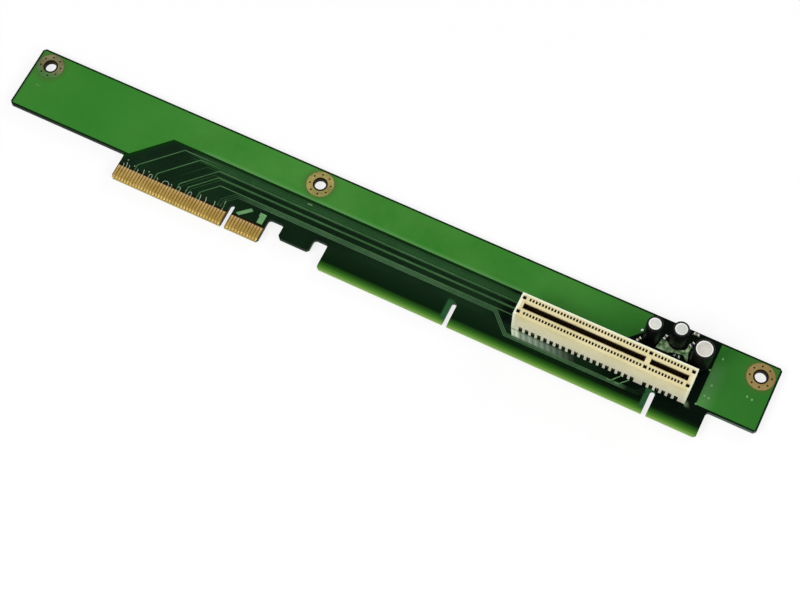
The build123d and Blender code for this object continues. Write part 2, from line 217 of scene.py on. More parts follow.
print("materials")
mask = {  # solder mask and bare laminate, with painted shadow, translucence and reflection on them, and where along the board each shows
    "dark": colour(6, 24, 10), "light": colour(18, 41, 21), "deep": colour(2, 12, 5), "shine": 0.03,
    "rim": ((0.0, colour(126, 164, 84)), (0.13, colour(70, 119, 38)), (0.26, colour(38, 83, 24)),
            (0.41, colour(4, 26, 6)), (1.0, colour(14, 34, 17))),
    "rimHeight": 7.7, "bare": colour(104, 72, 30), "bareLow": colour(148, 124, 54), "bareTop": 4.9,
    "scorch": colour(22, 17, 9), "scorchTop": 5.7,
    "seam": colour(8, 46, 8), "seamWidth": 1.0, "seamEnd": 176.0,
    "pourFoot": 33.6, "pourLow": 19.9, "slantShare": 0.4,  # the pour's slant and lower line
    "side": colour(7, 22, 9), "fibre": colour(24, 46, 20), "keyWall": colour(36, 88, 54),
    "paleSide": colour(84, 106, 86), "paleSideFrom": 234.0,
    "keys": (156.72, 221.49), "keyReach": 1.1, "keyTop": 8.2, "patch": colour(40, 84, 50), "patchReach": 2.6,
    "noseTop": 0.2, "goldNose": colour(170, 156, 92), "tongueNose": colour(150, 184, 104),
    "drill": colour(30, 20, 10), "drillReach": 2.5, "worn": colour(52, 74, 44),
    # from and to along the board, fade, lowest height: where the mask is near black, mask without copper
    # darkened further by painted shadow beside the slot's ends and round the capacitors
    "shadowedDarkSpots": ((206.0, 234.0, 5.0, 8.1), (168.5, 176.0, 3.0, 8.1), (200.0, 250.0, 9.0, 3.0)),
    # from, to, fade; low, high, fade; tone: painted reflection of the pale housing in the shiny mask
    "housingReflections": (((175.1, 196.0, 16.0), (5.0, 8.3, 0.8), colour(150, 170, 150)),
              ((175.1, 178.0, 1.2), (5.6, 8.3, 0.8), colour(214, 224, 200)),
              ((230.9, 232.8, 0.9), (7.2, 9.9, 1.2), colour(112, 130, 100))),
    # how the painted reflection leans and repeats, as a mirror image does
    "lean": 0.515, "streakPitch": 2.0, "streakFrom": 0.15, "streakDepth": 0.5,
}


def laminateMaterial():
    s = Shader("laminate", Specular_IOR_Level=mask["shine"])
    x, y, z = boardAxes(s)
    cloud = s.group(blotches, Place=s.coords, Large=45.0, Fine=1200.0, Fine_share=0.25).outputs[0]
    base = mixed(s, cloud, mask["dark"], mask["light"])
    fromSlant = maths(s.tree, "SUBTRACT", maths(s.tree, "SUBTRACT", x, y), mask["pourFoot"])
    fromSlant = maths(s.tree, "MULTIPLY", fromSlant, mask["slantShare"])
    fromPour = maths(s.tree, "MINIMUM", fromSlant, maths(s.tree, "SUBTRACT", mask["pourLow"], y))
    upper = inBand(s, z, face / 2, 40.0, 0.05)
    seam = both(s, upper, inBand(s, fromPour, -1.0, mask["seamWidth"], 0.8),
                inBand(s, x, 0.0, mask["seamEnd"], 1.0))
    base = mixed(s, seam, base, mask["seam"])
    onTongue = both(s, inBand(s, x, board["tongueLeft"] - 1, board["tongueRight"] + 1, 0.4),
                    inBand(s, y, -3.0, mask["rimHeight"] + 1, 1.0))
    # Bare laminate on the tongue's lower strip, partly painted translucence: lightest at the edge, near black
    # about 3 mm in
    rim = ramp(s, maths(s.tree, "DIVIDE", y, mask["rimHeight"], clamp=True), mask["rim"])
    base = mixed(s, onTongue, base, rim)
    # Near-black mask, partly painted shadow beside the slot's ends and round the capacitors
    for start, end, fade, low in mask["shadowedDarkSpots"]:
        deep = both(s, upper, inBand(s, x, start, end, fade), inBand(s, y, low, 40.0, 1.2))
        base = mixed(s, deep, base, mask["deep"])
    for key in mask["keys"]:
        patch = both(s, upper, inBand(s, x, key - mask["patchReach"], key, 0.5),
                     inBand(s, y, 1.0, mask["keyTop"] + 0.8, 1.2))
        base = mixed(s, patch, base, mask["patch"])
    # Painted reflection of the pale housing in the mask, leaning and streaked where its notches mirror in it
    leaning = maths(s.tree, "MULTIPLY_ADD", y, mask["lean"], -mask["lean"] * board["slotFront"])
    leaning = maths(s.tree, "ADD", x, leaning)
    halfPitch, depth = mask["streakPitch"] / 2, mask["streakDepth"]
    streak = maths(s.tree, "PINGPONG", maths(s.tree, "SUBTRACT", leaning, mask["streakFrom"]), halfPitch)
    streak = maths(s.tree, "MULTIPLY_ADD", streak, depth / halfPitch, 1.0 - depth)
    for (start, end, fade), (low, high, soft), tone in mask["housingReflections"]:
        reflection = both(s, upper, inBand(s, leaning, start, 400.0, 0.3), inBand(s, leaning, -9.0, end, fade),
                    inBand(s, y, low, high, soft))
        base = mixed(s, maths(s.tree, "MULTIPLY", reflection, streak), base, tone)
    betweenFingers = both(s, inBand(s, x, board["edgeLeft"], board["edgeRight"], 0.2),
                          inBand(s, y, -3.0, mask["bareTop"], 0.2))
    aboveFingers = both(s, inBand(s, x, board["edgeLeft"], board["edgeRight"], 0.4),
                        inBand(s, y, mask["bareTop"] - 0.3, mask["scorchTop"], 0.5))
    base = mixed(s, aboveFingers, base, mask["scorch"])
    strip = mixed(s, inBand(s, y, -9.0, 2.6, 2.2), mask["bare"], mask["bareLow"])
    base = mixed(s, betweenFingers, base, strip)
    normal = s.node("ShaderNodeNewGeometry").outputs["Normal"]
    level = maths(s.tree, "ABSOLUTE", s.node("ShaderNodeSeparateXYZ", Vector=normal).outputs[2])
    upright = s.node("ShaderNodeMapRange", Value=level, From_Min=0.2, From_Max=0.1).outputs[0]
    fibre = s.node("ShaderNodeTexWave", {"wave_type": "BANDS", "bands_direction": "Z"}, Vector=s.coords,
                   Scale=700.0, Distortion=2.0, Detail=2.0, Detail_Scale=3.0).outputs[1]
    cutEdge = mixed(s, fibre, mask["side"], mask["fibre"])
    paleSide = inBand(s, x, mask["paleSideFrom"], 400.0, 8.0)
    cutEdge = mixed(s, paleSide, cutEdge, mask["paleSide"], 0.8)
    for key in mask["keys"]:
        wall = both(s, inBand(s, x, key - mask["keyReach"], key + mask["keyReach"], 0.1),
                    inBand(s, y, -3.0, mask["keyTop"], 0.2))
        cutEdge = mixed(s, wall, cutEdge, mask["keyWall"])
    low = inBand(s, y, -9.0, mask["noseTop"], 0.05)
    for edge, tone in (("edge", "goldNose"), ("tongue", "tongueNose")):
        nosed = both(s, low, inBand(s, x, board[edge + "Left"], board[edge + "Right"], 0.1))
        cutEdge = mixed(s, nosed, cutEdge, mask[tone])
    base = mixed(s, upright, base, cutEdge)
    base = mixed(s, nearHoles(s, mask["drillReach"], 0.1), base, mask["drill"])
    wear = s.group(edgeWear, Place=s.coords, Radius=0.00015, Breakup=500.0).outputs["Mask"]
    base = mixed(s, wear, base, mask["worn"], 0.3)
    s.feed("Base Color", base)
    roughened(s, 0.3, 0.5)
    bumped(s, 0.2, 0.00004, 900.0, 5000.0)
    return s.material


pour = {"low": colour(48, 119, 38), "high": colour(64, 135, 52), "warm": colour(80, 130, 58),
        "worn": colour(30, 78, 30), "shine": 0.06,
        "far": colour(38, 102, 34), "farFrom": 150.0, "farFade": 110.0,
        "near": colour(38, 116, 34), "nearTo": 62.0, "nearFade": 40.0,
        "rimTone": colour(58, 96, 56), "rimReach": 1.6,
        "halo": colour(70, 98, 44), "haloReach": 6.4, "haloFade": 2.4,
        "edge": colour(104, 158, 98), "edgeHighlightTop": 21.2, "edgeLeft": 62.0, "edgeRight": 176.0,
        "pale": colour(88, 138, 84), "paleFrom": 231.0, "paleTo": 239.5}


def pourMaterial():
    s = Shader("copperPour", Specular_IOR_Level=pour["shine"])
    x, y = boardAxes(s)[:2]
    cloud = s.group(blotches, Place=s.coords, Large=26.0, Fine=500.0, Fine_share=0.16).outputs[0]
    warm = s.group(blotches, Place=s.coords, Large=55.0, Fine=260.0, Fine_share=0.3).outputs[0]
    base = mixed(s, cloud, pour["low"], pour["high"])
    base = mixed(s, warm, base, pour["warm"], 0.3)
    far = inBand(s, x, pour["farFrom"], 400.0, pour["farFade"])
    base = mixed(s, far, base, pour["far"], 0.8)
    near = inBand(s, x, -9.0, pour["nearTo"], pour["nearFade"])
    base = mixed(s, near, base, pour["near"], 0.7)
    # Painted highlight: a lighter band along the pour's lower edge, left of the slot
    edge = both(s, inBand(s, y, 10.0, pour["edgeHighlightTop"], 1.2),
                inBand(s, x, pour["edgeLeft"], pour["edgeRight"], 4.0))
    base = mixed(s, edge, base, pour["edge"], 0.5)
    pale = both(s, inBand(s, x, pour["paleFrom"], pour["paleTo"], 4.0), inBand(s, y, -9.0, 26.0, 6.0))
    base = mixed(s, pale, base, pour["pale"], 0.6)
    leftRim = inBand(s, x, -9.0, pour["rimReach"], pour["rimReach"])
    base = mixed(s, leftRim, base, pour["rimTone"], 0.8)
    halo = nearHoles(s, pour["haloReach"], pour["haloFade"])
    base = mixed(s, halo, base, pour["halo"], 0.7)
    wear = s.group(edgeWear, Place=s.coords, Radius=0.00012, Breakup=500.0).outputs[0]
    base = mixed(s, wear, base, pour["worn"], 0.5)
    s.feed("Base Color", base)
    roughened(s, 0.32, 0.46)
    bumped(s, 0.2, 0.00003, 500.0, 4000.0)
    return s.material


# Masked copper lines. Those in the fan, or high on the board, sink into the tone of their neighbours
def traceMaterial(name, low, high, *quiets, fine=0.3):
    s = Shader(name, Specular_IOR_Level=mask["shine"])
    cloud = s.group(blotches, Place=s.coords, Large=140.0, Fine=900.0, Fine_share=fine).outputs[0]
    base = mixed(s, cloud, low, high)
    x, y = boardAxes(s)[:2]
    for tone, (left, right, fade), (bottom, top) in quiets:
        place = both(s, inBand(s, x, left, right, fade), inBand(s, y, bottom, top, 0.3))
        base = mixed(s, place, base, tone)
    wear = s.group(edgeWear, Place=s.coords, Radius=0.00005, Breakup=900.0).outputs["Mask"]
    s.feed("Base Color", mixed(s, wear, base, mask["light"], 0.25))
    roughened(s, 0.3, 0.45)
    bumped(s, 0.2, 0.00002, 1500.0, 6000.0)
    return s.material


def metalMaterial(name, low, high, rough, metallic=1.0, bump=0.25, worn=None, streak=None, change=None):
    s = Shader(name, Metallic=metallic)
    cloud = s.group(blotches, Place=s.coords, Large=240.0, Fine=2200.0, Fine_share=0.4).outputs[0]
    base = mixed(s, cloud, low, high)
    wear = s.group(edgeWear, Place=s.coords, Radius=0.00008, Breakup=900.0)
    if worn is not None:
        base = mixed(s, wear.outputs[0], base, worn, 0.7)
    if streak is not None:
        stretch = s.node("ShaderNodeMapping", Vector=s.coords)
        stretch.inputs["Scale"].default_value = (5000.0, 160.0, 160.0)
        line = s.node("ShaderNodeTexNoise", Vector=stretch.outputs[0], Scale=1.0, Detail=2.0).outputs[0]
        line = s.node("ShaderNodeMapRange", Value=line, From_Min=0.5, From_Max=0.68).outputs[0]
        base = mixed(s, line, base, streak, 0.45)
    if change is not None:
        axis, start, end, fade, tone = change
        base = mixed(s, inBand(s, boardAxes(s)[axis], start, end, fade), base, tone)
    s.feed("Base Color", base)
    roughened(s, rough[0], rough[1], 300.0, 2500.0)
    bumped(s, bump, 0.00003, 1200.0, 6000.0)
    return s.material


def plasticMaterial(name, low, high, rough, worn, radius=0.00012, bump=0.2, specular=0.4):
    s = Shader(name, Specular_IOR_Level=specular)
    cloud = s.group(blotches, Place=s.coords, Large=110.0, Fine=1500.0, Fine_share=0.3).outputs[0]
    base = mixed(s, cloud, low, high)
    wear = s.group(edgeWear, Place=s.coords, Radius=radius, Breakup=700.0)
    base = mixed(s, wear.outputs["Mask"], base, worn, 0.6)
    s.feed("Base Color", base)
    roughened(s, rough[0], rough[1], 150.0, 2500.0)
    bumped(s, bump, 0.00003, 900.0, 5000.0, normal=wear.outputs["Rounded"])
    return s.material


# The housing's front tone is painted light, its pale tone a painted highlight on the ends and back lip, and
# its inside tone painted shade in the card gap
housing = {"low": colour(214, 202, 150), "high": colour(230, 218, 172), "inside": colour(34, 24, 10),
           "insideReach": 3.12, "insideTop": 0.15, "insideFade": 0.9, "endWall": 0.45,
           "pale": colour(236, 240, 216), "border": 1.0, "lipFrom": 3.15, "frontPaintedLight": colour(230, 230, 206),
           "worn": colour(242, 238, 214)}


def housingMaterial():
    s = Shader("creamHousing", Specular_IOR_Level=0.3)
    x, y, z = boardAxes(s)
    cloud = s.group(blotches, Place=s.coords, Large=110.0, Fine=1500.0, Fine_share=0.3).outputs[0]
    base = mixed(s, cloud, housing["low"], housing["high"])
    # Painted light: the front face is lifted towards its foot, where less light reaches it
    litFront = both(s, inBand(s, y, 0.0, board["slotFront"] + 0.3, 0.2),
                 inBand(s, z, -9.0, face + board["slotHeight"], board["slotHeight"]))
    base = mixed(s, litFront, base, housing["frontPaintedLight"])
    # Painted highlights: a pale strip at each end corner and along the back lip, where the edges catch the
    # light
    leftEndHighlight = inBand(s, x, 0.0, board["slotLeft"] + housing["border"], 0.3)
    rightEndHighlight = inBand(s, x, board["slotRight"] - housing["border"], 400.0, 0.3)
    back = inBand(s, y, board["slotY"] + housing["lipFrom"], 40.0, 0.2)
    endHighlights = maths(s.tree, "MAXIMUM", leftEndHighlight, maths(s.tree, "MULTIPLY", rightEndHighlight, 0.6))
    base = mixed(s, maths(s.tree, "MAXIMUM", endHighlights, back), base, housing["pale"])
    wear = s.group(edgeWear, Place=s.coords, Radius=0.00012, Breakup=700.0)
    base = mixed(s, wear.outputs["Mask"], base, housing["worn"], 0.6)
    # Painted shade in the card gap: its walls go dark brown below the mouth
    reach, wall = housing["insideReach"], housing["endWall"]
    top = face + board["slotHeight"] - housing["insideTop"]
    inside = both(s, inBand(s, y, board["slotY"] - reach, board["slotY"] + reach, 0.1),
                  inBand(s, x, board["slotLeft"] + wall, board["slotRight"] - wall, 0.1),
                  inBand(s, z, -9.0, top, housing["insideFade"]))
    base = mixed(s, inside, base, housing["inside"])
    s.feed("Base Color", base)
    roughened(s, 0.42, 0.58, 150.0, 2500.0)
    bumped(s, 0.2, 0.00003, 900.0, 5000.0, normal=wear.outputs["Rounded"])
    return s.material


looks = {
    "laminate": laminateMaterial(),
    "pour": pourMaterial(),
    "trace": traceMaterial("busTrace", colour(60, 98, 60), colour(78, 116, 74),
                           (colour(40, 80, 42), (66.0, 400.0, 6.0), (16.6, 40.0))),
    "bundle": traceMaterial("bundleTrace", colour(58, 92, 60), colour(74, 108, 74),
                            (colour(44, 72, 46), (-9.0, 92.0, 12.0), (6.3, 40.0)),
                            (colour(16, 34, 18), (211.5, 300.0, 2.5), (-9.0, 40.0))),
    "fineTrace": traceMaterial("fineTrace", colour(40, 80, 42), colour(54, 96, 54),
                               (colour(18, 38, 30), (-9.0, 68.0, 8.0), (5.0, 40.0))),
    # Pale green copper island whose near-white specks are painted glints
    "island": traceMaterial("copperIslandGlints", colour(40, 100, 40), colour(210, 240, 190), fine=0.9),
    "wideCopper": traceMaterial("wideCopper", colour(84, 132, 84), colour(112, 160, 106)),
    "gold": metalMaterial("goldFinger", colour(156, 128, 58), colour(182, 154, 88), (0.36, 0.52), 0.85,
                          worn=colour(200, 176, 120), streak=colour(136, 100, 42),
                          change=(1, 3.4, 9.0, 1.6, colour(188, 162, 116))),
    "padGold": metalMaterial("padGold", colour(122, 116, 62), colour(176, 158, 92), (0.34, 0.55), 0.6,
                             worn=colour(98, 84, 46), change=(0, 160.0, 400.0, 150.0, colour(128, 98, 58))),
    "padDull": metalMaterial("padDull", colour(86, 86, 52), colour(132, 126, 90), (0.4, 0.6), 0.5,
                             worn=colour(84, 72, 40), change=(1, 0.0, 25.9, 3.2, colour(62, 106, 50))),
    "stub": metalMaterial("stubTin", colour(126, 144, 120), colour(164, 178, 152), (0.4, 0.55), 0.2),
    "housing": housingMaterial(),
    "contact": metalMaterial("springContact", colour(112, 78, 34), colour(146, 104, 50), (0.25, 0.4),
                             change=(2, -3.0, 3.2, 0.6, colour(150, 160, 150))),
    "solder": metalMaterial("solderTin", colour(176, 179, 180), colour(206, 208, 206), (0.2, 0.42), 0.9),
    "canRim": metalMaterial("canRim", colour(222, 226, 218), colour(240, 242, 236), (0.4, 0.55), 0.35),
    "can": metalMaterial("canAluminium", colour(194, 198, 190), colour(212, 214, 206), (0.45, 0.62), 0.35,
                         worn=colour(236, 238, 232)),
    "canWarm": metalMaterial("warmAluminium", colour(180, 176, 166), colour(206, 203, 194), (0.45, 0.62),
                             0.35, worn=colour(236, 236, 230)),
    "sleeve": plasticMaterial("blackSleeve", colour(5, 6, 6), colour(14, 17, 15), (0.3, 0.45),
                              colour(40, 44, 42), specular=0.12),
    "lead": metalMaterial("tinnedLead", colour(180, 182, 184), colour(208, 209, 210), (0.25, 0.4)),
    "chipTan": plasticMaterial("tanCeramic", colour(112, 104, 82), colour(146, 138, 112), (0.4, 0.55),
                               colour(176, 164, 138), radius=0.00006),
    "chipBlack": plasticMaterial("blackChip", colour(14, 14, 16), colour(30, 30, 32), (0.35, 0.5),
                                 colour(70, 70, 70), radius=0.00006, specular=0.2),
    "terminal": metalMaterial("tinnedEnd", colour(196, 200, 192), colour(226, 228, 220), (0.22, 0.4), 0.85),
    "paleDot": plasticMaterial("paleDot", colour(98, 158, 88), colour(146, 190, 132), (0.5, 0.6),
                               colour(128, 184, 114), specular=0.1),
}

nodeLooks = {
    "circuit_board": "laminate", "front_ground_pour": "pour", "back_ground_pour": "pour",
    "bus_traces": "trace", "bundle_traces": "bundle", "wide_copper_shapes": "wideCopper",
    "edge_fingers_front": "gold", "edge_fingers_back": "gold",
    "mounting_pad_left": "padGold", "mounting_pad_centre": "padGold", "mounting_pad_right": "padGold",
    "mounting_pads_back": "padGold", "slot_housing": "housing",
    "slot_contacts_front_row": "contact", "slot_contacts_back_row": "contact", "slot_solder_joints": "solder",
    "capacitor_solder_joints": "solder", "capacitor_copper": "island",
    "chip_capacitor_bodies": "chipTan", "chip_resistor_bodies": "chipBlack", "chip_terminals": "terminal",
}
for number in (1, 2, 3):
    for part, look in (("can", "can"), ("sleeve", "sleeve"), ("leads", "lead")):
        nodeLooks["capacitor_%d_%s" % (number, part)] = look
for nodeName, look in nodeLooks.items():
    for slot in cadNodes[nodeName].material_slots:
        slot.material = looks[look]


def growthTree(name, inputs):
    tree = bpy.data.node_groups.new(name, "GeometryNodeTree")
    tree.interface.new_socket("Geometry", in_out="INPUT", socket_type="NodeSocketGeometry")
    for label, kind, value in inputs:
        socket = tree.interface.new_socket(label, in_out="INPUT", socket_type="NodeSocket" + kind)
        socket.default_value = value
    tree.interface.new_socket("Finish", in_out="INPUT", socket_type="NodeSocketMaterial")
    tree.interface.new_socket("Geometry", in_out="OUTPUT", socket_type="NodeSocketGeometry")
    return tree, tree.nodes.new("NodeGroupInput").outputs


def endTree(tree, given, geometry):
    solid = addNode(tree, "GeometryNodeRealizeInstances", Geometry=geometry)
    painted = addNode(tree, "GeometryNodeSetMaterial", Geometry=solid.outputs[0], Material=given["Finish"])
    tree.links.new(painted.outputs[0], tree.nodes.new("NodeGroupOutput").inputs[0])
    return tree


def points(places):
    mesh = bpy.data.meshes.new("points")
    mesh.from_pydata([tuple(p) for p in places], [], [])
    return mesh


def lines(paths):
    mesh = bpy.data.meshes.new("lines")
    verts, edges = [], []
    for path in paths:
        start = len(verts)
        verts += [tuple(p) for p in path]
        edges += [(start + i, start + i + 1) for i in range(len(path) - 1)]
    mesh.from_pydata(verts, edges, [])
    return mesh


def newObject(name, data):
    made = bpy.data.objects.new(name, data)
    bpy.context.scene.collection.objects.link(made)
    return made


def joinBoard(piece):
    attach(piece, "root")
    print(" ", piece.name, len(piece.data.polygons), "faces")
    return piece


def grow(name, base, tree, look, slot, **sizes):
    seed = newObject(name + "Seed", base)
    modifier = seed.modifiers.new("growth", "NODES")
    modifier.node_group = tree
    sizes["Finish"] = looks[look]
    for item in tree.interface.items_tree:
        if item.in_out == "INPUT" and item.name in sizes:
            modifier[item.identifier] = sizes[item.name]
    dressed = seed.evaluated_get(bpy.context.evaluated_depsgraph_get())
    mesh = bpy.data.meshes.new_from_object(dressed)
    bpy.data.objects.remove(seed)
    return joinBoard(newObject(name, mesh))


def finishMesh(name, build, look, bevel=0.0, smooth=True):
    mesh = bpy.data.meshes.new(name)
    work = bmesh.new()
    build(work)
    bmesh.ops.recalc_face_normals(work, faces=work.faces)
    work.to_mesh(mesh)
    work.free()
    for polygon in mesh.polygons:
        polygon.use_smooth = smooth
    mesh.materials.append(looks[look])
    piece = newObject(name, mesh)
    if bevel:
        edge = piece.modifiers.new("edge", "BEVEL")
        edge.width = bevel
        edge.segments = 2
        edge.limit_method = "ANGLE"
    return joinBoard(piece)


# Ribbon of copper along each line of the base mesh
def ribbonTree():
    tree, given = growthTree("ribbon", [("Width", "Float", 0.0002), ("Height", "Float", 0.00003)])
    path = addNode(tree, "GeometryNodeMeshToCurve", Mesh=given["Geometry"])
    level = addNode(tree, "GeometryNodeSetCurveNormal", {"mode": "Z_UP"}, Curve=path.outputs[0])
    section = addNode(tree, "GeometryNodeCurvePrimitiveQuadrilateral",
                      Width=given["Width"], Height=given["Height"])
    strip = addNode(tree, "GeometryNodeCurveToMesh", Curve=level.outputs[0], Profile_Curve=section.outputs[0],
                    Fill_Caps=True)
    return endTree(tree, given, strip.outputs[0])


# Flat ring with a round opening at every point, used for via rims
def ringTree():
    tree, given = growthTree("viaRing", [("Outer", "Float", 0.0004), ("Inner", "Float", 0.0002),
                                         ("Height", "Float", 0.00004), ("Sides", "Int", 12)])
    pair = addNode(tree, "GeometryNodeJoinGeometry")
    for radius in (given["Outer"], given["Inner"]):
        circle = addNode(tree, "GeometryNodeCurvePrimitiveCircle", Resolution=given["Sides"], Radius=radius)
        tree.links.new(circle.outputs[0], pair.inputs[0])
    flat = addNode(tree, "GeometryNodeFillCurve", Curve=pair.outputs[0])
    closed = thickened(tree, flat.outputs[0], given["Height"])
    spots = addNode(tree, "GeometryNodeInstanceOnPoints", Points=given["Geometry"], Instance=closed)
    return endTree(tree, given, spots.outputs[0])


def thickened(tree, flat, height):
    raised = addNode(tree, "GeometryNodeExtrudeMesh", {"mode": "FACES"}, Mesh=flat, Offset_Scale=height,
                     Individual=False)
    under = addNode(tree, "GeometryNodeFlipFaces", Mesh=flat)
    whole = addNode(tree, "GeometryNodeJoinGeometry")
    tree.links.new(raised.outputs[0], whole.inputs[0])
    tree.links.new(under.outputs[0], whole.inputs[0])
    joined = addNode(tree, "GeometryNodeMergeByDistance", Geometry=whole.outputs[0], Distance=0.001 * mm)
    return joined.outputs[0]


# Round pad with its hole and a circle of vias
def padTree():
    tree, given = growthTree("mountingPad", [
        ("Outer", "Float", 0.00435), ("Inner", "Float", 0.0022), ("Via circle", "Float", 0.0032),
        ("Via", "Float", 0.00022), ("Vias", "Int", 8), ("Height", "Float", 0.00005)])
    outer = addNode(tree, "GeometryNodeCurvePrimitiveCircle", Resolution=96, Radius=given["Outer"])
    inner = addNode(tree, "GeometryNodeCurvePrimitiveCircle", Resolution=64, Radius=given["Inner"])
    spots = addNode(tree, "GeometryNodeMeshCircle", Vertices=given["Vias"], Radius=given["Via circle"])
    turned = addNode(tree, "GeometryNodeTransform", Geometry=spots.outputs[0])
    turned.inputs["Rotation"].default_value = (0, 0, math.radians(12))
    via = addNode(tree, "GeometryNodeCurvePrimitiveCircle", Resolution=14, Radius=given["Via"])
    ring = addNode(tree, "GeometryNodeInstanceOnPoints", Points=turned.outputs[0], Instance=via.outputs[0])
    loose = addNode(tree, "GeometryNodeRealizeInstances", Geometry=ring.outputs[0])
    outline = addNode(tree, "GeometryNodeJoinGeometry")
    for curve in (outer, inner, loose):
        tree.links.new(curve.outputs[0], outline.inputs[0])
    flat = addNode(tree, "GeometryNodeFillCurve", Curve=outline.outputs[0])
    closed = thickened(tree, flat.outputs[0], given["Height"])
    placed = addNode(tree, "GeometryNodeInstanceOnPoints", Points=given["Geometry"], Instance=closed)
    return endTree(tree, given, placed.outputs[0])


# Solder joint under the board: a hollow-sided cone round a short pin
def jointTree():
    tree, given = growthTree("solderJoint", [
        ("Foot", "Float", 0.0007), ("Pin", "Float", 0.00022), ("Drop", "Float", 0.001), ("Sides", "Int", 10)])
    end = addNode(tree, "ShaderNodeCombineXYZ", Z=maths(tree, "MULTIPLY", given["Drop"], -1.0))
    core = addNode(tree, "GeometryNodeCurvePrimitiveLine", End=end.outputs[0])
    steps = addNode(tree, "GeometryNodeResampleCurve", Curve=core.outputs[0], Count=7)
    along = addNode(tree, "GeometryNodeSplineParameter").outputs["Factor"]
    shape = addNode(tree, "ShaderNodeFloatCurve", Value=along)
    curve = shape.mapping.curves[0]
    curve.points[0].location = (0.0, 1.0)
    curve.points[1].location = (1.0, 0.0)
    for x, y in ((0.18, 0.62), (0.42, 0.22), (0.7, 0.04), (0.9, 0.0)):
        curve.points.new(x, y)
    shape.mapping.update()
    reach = maths(tree, "SUBTRACT", given["Foot"], given["Pin"])
    radius = maths(tree, "ADD", maths(tree, "MULTIPLY", shape.outputs[0], reach), given["Pin"])
    section = addNode(tree, "GeometryNodeCurvePrimitiveCircle", Resolution=given["Sides"], Radius=1.0)
    fillet = addNode(tree, "GeometryNodeCurveToMesh", Curve=steps.outputs[0],
                     Profile_Curve=section.outputs[0], Scale=radius, Fill_Caps=True)
    smooth = addNode(tree, "GeometryNodeSetShadeSmooth", Geometry=fillet.outputs[0])
    placed = addNode(tree, "GeometryNodeInstanceOnPoints", Points=given["Geometry"],
                     Instance=smooth.outputs[0])
    return endTree(tree, given, placed.outputs[0])


trees = {"ribbon": ribbonTree(), "ring": ringTree(), "pad": padTree(), "joint": jointTree()}

print("mounting pads")
pad = {"outer": 4.35, "inner": 2.35, "viaCircle": 3.35, "via": 0.3, "vias": 8}
padSizes = {"Outer": pad["outer"] * mm, "Inner": pad["inner"] * mm, "Via circle": pad["viaCircle"] * mm,
            "Via": pad["via"] * mm, "Vias": pad["vias"], "Height": board["copper"] * mm}
for label, x in zip(("left", "centre", "right"), board["holes"]):
    piece = grow("mountingPad" + label.capitalize(), points([at(x, board["holeY"], face)]), trees["pad"],
                 "padDull" if label == "left" else "padGold", "gold", **padSizes)
    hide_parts("mounting_pad_" + label)
piece = grow("mountingPadsBack", points([at(x, board["holeY"], -board["copper"]) for x in board["holes"]]),
             trees["pad"], "padGold", "gold", **padSizes)
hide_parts("mounting_pads_back")

print("bus lines")
bus = {"width": 0.17, "height": 0.03, "rise": 6.9, "end": 174.6, "from": 5.5,
       # finger and the height at which its line runs along the board
       "lines": ((0, 18.85), (1, 18.5), (3, 17.8), (4, 17.5), (8, 16.9), (10, 16.6), (16, 15.95), (21, 14.45),
                 (24, 13.85))}
fingers = contactPlaces(board["edgeKey"])
z = face + bus["height"] / 2
paths = []
for index, y in bus["lines"]:
    x = fingers[index]
    paths.append([at(x, bus["from"], z), at(x, bus["rise"], z), at(x + y - bus["rise"], y, z),
                  at(bus["end"], y, z)])
grow("fineTraces", lines(paths), trees["ribbon"], "fineTrace", "trace",
     Width=bus["width"] * mm, Height=bus["height"] * mm)

print("bundle lead-in")
leadIn = {"width": 0.3, "fingers": (34, 35, 36), "heights": (11.5, 11.05, 10.6),
          "from": 5.6, "rise": 8.0, "end": 95.75}
z = face + board["copper"] / 2
paths = []
for index, y in zip(leadIn["fingers"], leadIn["heights"]):
    x = fingers[index]
    paths.append([at(x, leadIn["from"], z), at(x, leadIn["rise"], z), at(x + y - leadIn["rise"], y, z),
                  at(leadIn["end"], y, z)])
grow("bundleLeadIn", lines(paths), trees["ribbon"], "bundle", "trace",
     Width=leadIn["width"] * mm, Height=board["copper"] * mm)

print("rises at the slot's front")
rises = {"width": 0.32, "height": 0.03, "foot": 5.5, "top": 8.0, "places": ((208.6, 2.2), (211.2, 2.4))}
z = face + rises["height"] / 2
paths = []
for x, across in rises["places"]:
    bend = (rises["top"] - rises["foot"]) * 0.7
    paths.append([at(x - 1.2, rises["foot"], z), at(x, rises["foot"], z),
                  at(x + across * 0.7, rises["foot"] + bend, z), at(x + across, rises["top"], z)])
grow("slotRises", lines(paths), trees["ribbon"], "wideCopper", "trace",
     Width=rises["width"] * mm, Height=rises["height"] * mm)

print("finger stubs")
stub = {"width": 0.2, "height": 0.04, "start": 4.72, "short": 5.9, "tall": 6.6, "last": 8.1, "loopTop": 6.1,
        # fingers by their number from the left
        "loops": ((10, 11), (15, 17), (20, 21), (24, 25)), "shortOnes": (1, 3, 6, 13, 18, 23),
        "tallOnes": (2, 8, 28, 30, 33), "tallest": 36,
        "lean": 0.3, "loopRise": 0.75, "dotRadius": 0.2, "dots": ((44.1, 7.4), (46.9, 6.4), (51.9, 6.6))}
z = face + stub["height"] / 2
paths = []
for first, last in stub["loops"]:
    a, b = fingers[first], fingers[last]
    mid, radius = (a + b) / 2, (b - a) / 2
    rise = min(radius, stub["loopRise"])
    turns = [math.radians(t) for t in range(0, 181, 30)]
    arc = [at(mid - radius * math.cos(t), stub["loopTop"] - rise * (1 - math.sin(t)), z) for t in turns]
    paths.append([at(a, stub["start"], z)] + arc + [at(b, stub["start"], z)])
heights = {index: stub["short"] for index in stub["shortOnes"]}
heights.update({index: stub["tall"] for index in stub["tallOnes"]})
heights[stub["tallest"]] = stub["last"]
